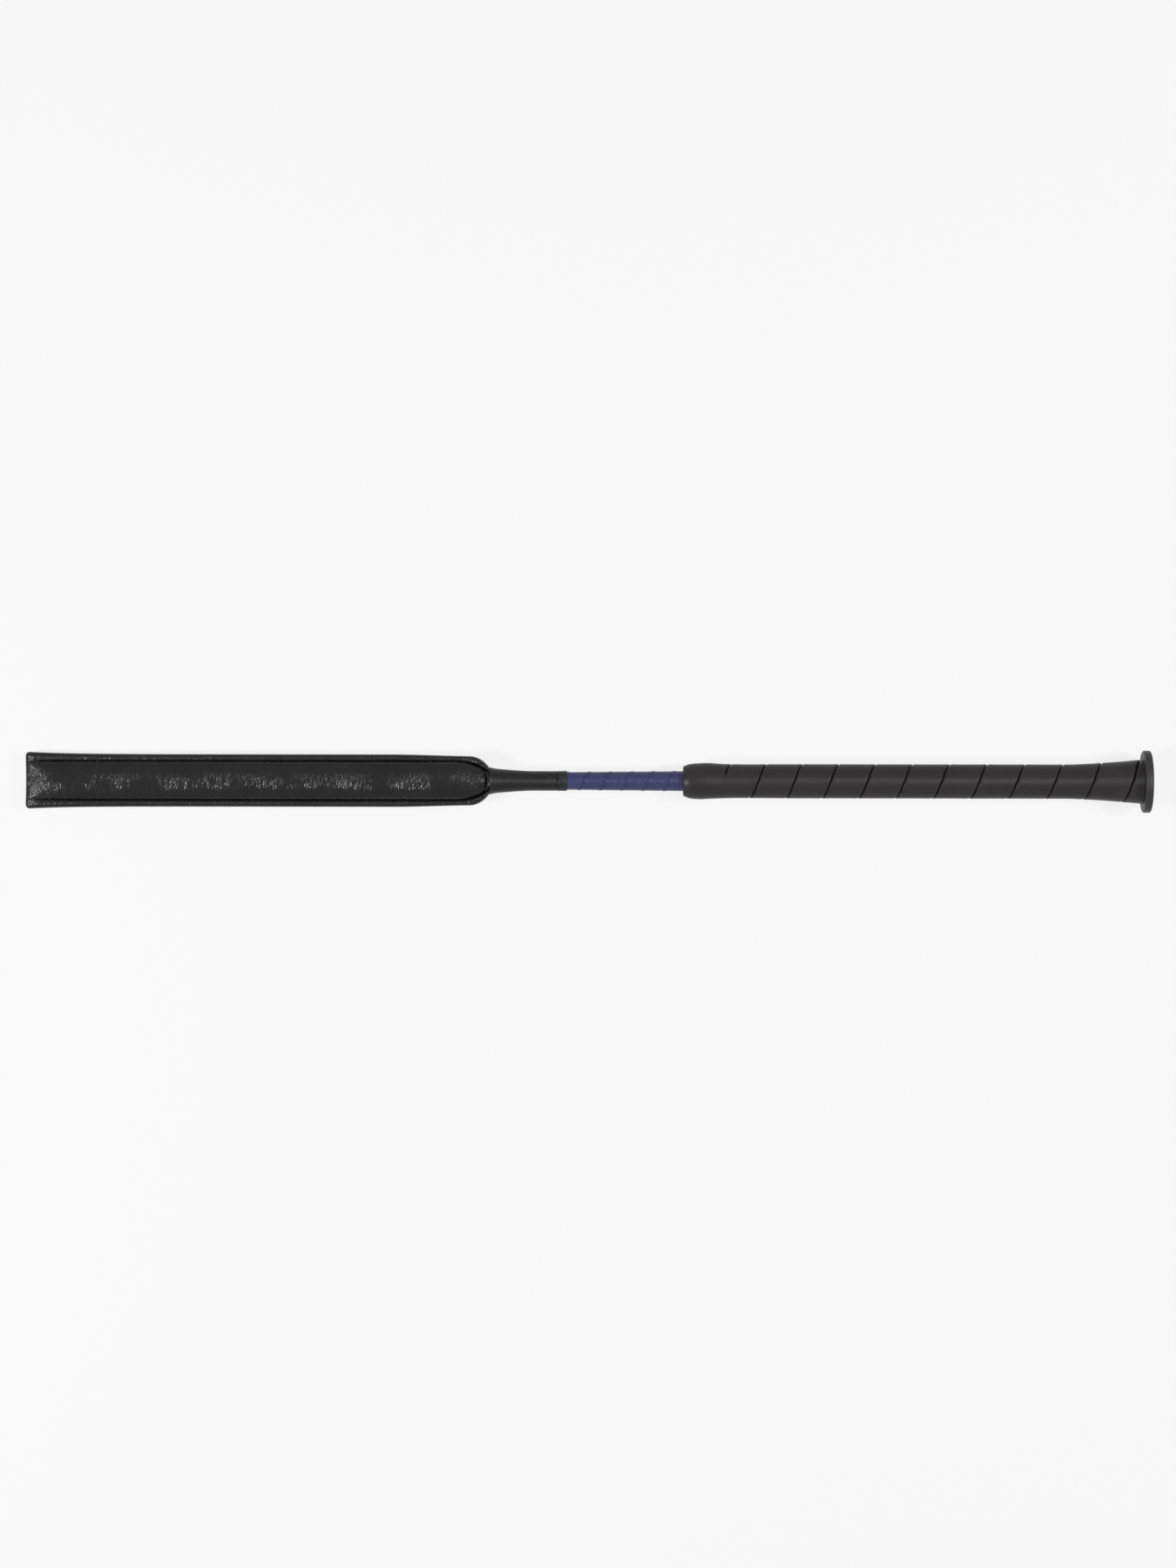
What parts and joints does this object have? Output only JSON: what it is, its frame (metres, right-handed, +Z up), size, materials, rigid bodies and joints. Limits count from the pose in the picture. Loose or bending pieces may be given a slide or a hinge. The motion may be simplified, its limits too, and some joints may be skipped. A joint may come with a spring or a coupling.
{
  "type": "riding crop",
  "caption": "Padded riding crop: black leather-covered flap that bends past the rod, thread whipping, blue taped shaft, rubber grip with flared end and round butt cap.",
  "frame": {"origin": "on the surface the crop lies on, under the middle of its outline", "axes": "+X from the flap to the butt cap, +Y across the flap, +Z up from the surface; the crop's own axis rises 1.1 degrees towards the cap"},
  "size_m": [0.6502, 0.036, 0.0359],
  "materials": {
    "rod": "pultruded glass fibre rod",
    "grey_plastic": "plain moulded plastic",
    "braid": "tight braided polyester sleeve",
    "blue_tape": "spiral-wound self-adhesive tape, satin",
    "black_whipping": "close turns of waxed black thread",
    "black_band": "smooth black heat-set band",
    "paper_tape": "double-sided grip tape",
    "grip_rubber": "moulded matt rubber with a spiral groove",
    "cap_rubber": "moulded matt rubber",
    "foam": "closed-cell foam",
    "black_leather": "fine pebble grain, semi-gloss",
    "seam_thread": "black lockstitch thread",
    "edge_cord": "soft cotton filler cord"
  },
  "bodies": {
    "crop": {"core_rod": "rod", "rod_tip_cap": "grey_plastic", "shaft_sleeve": "braid", "shaft_tape": "blue_tape", "neck_whipping": "black_whipping", "finishing_band": "black_band", "handle_tube": "grey_plastic", "grip_tape": "paper_tape", "grip_sleeve": "grip_rubber", "butt_cap": "cap_rubber", "flap_foam_bend": "foam", "front_leather_bend": "black_leather", "front_left_seam_bend": "seam_thread", "front_right_seam_bend": "seam_thread", "back_leather_bend": "black_leather", "back_left_seam_bend": "seam_thread", "back_right_seam_bend": "seam_thread", "left_edge_cord_bend": "edge_cord", "right_edge_cord_bend": "edge_cord", "flap_foam_root": "foam", "front_leather_root": "black_leather", "front_left_seam_root": "seam_thread", "front_right_seam_root": "seam_thread", "back_leather_root": "black_leather", "back_left_seam_root": "seam_thread", "back_right_seam_root": "seam_thread", "left_edge_cord_root": "edge_cord", "right_edge_cord_root": "edge_cord"},
    "flap_tip": {"flap_foam_tip": "foam", "front_leather_tip": "black_leather", "front_left_seam_tip": "seam_thread", "front_right_seam_tip": "seam_thread", "back_leather_tip": "black_leather", "back_left_seam_tip": "seam_thread", "back_right_seam_tip": "seam_thread", "left_edge_cord_tip": "edge_cord", "right_edge_cord_tip": "edge_cord"}
  },
  "joints": [
    {"name": "flap_bend", "type": "hinge", "parent": "crop", "child": "flap_tip", "pos_m": [-0.2281, 0, 0.00741], "axis": [0, 1, 0], "range_deg": [-60, 60], "stiffness_Nm_per_rad": 0.2, "deforming": ["flap_foam_bend", "front_leather_bend", "front_left_seam_bend", "front_right_seam_bend", "back_leather_bend", "back_left_seam_bend", "back_right_seam_bend", "left_edge_cord_bend", "right_edge_cord_bend"]}
  ]
}
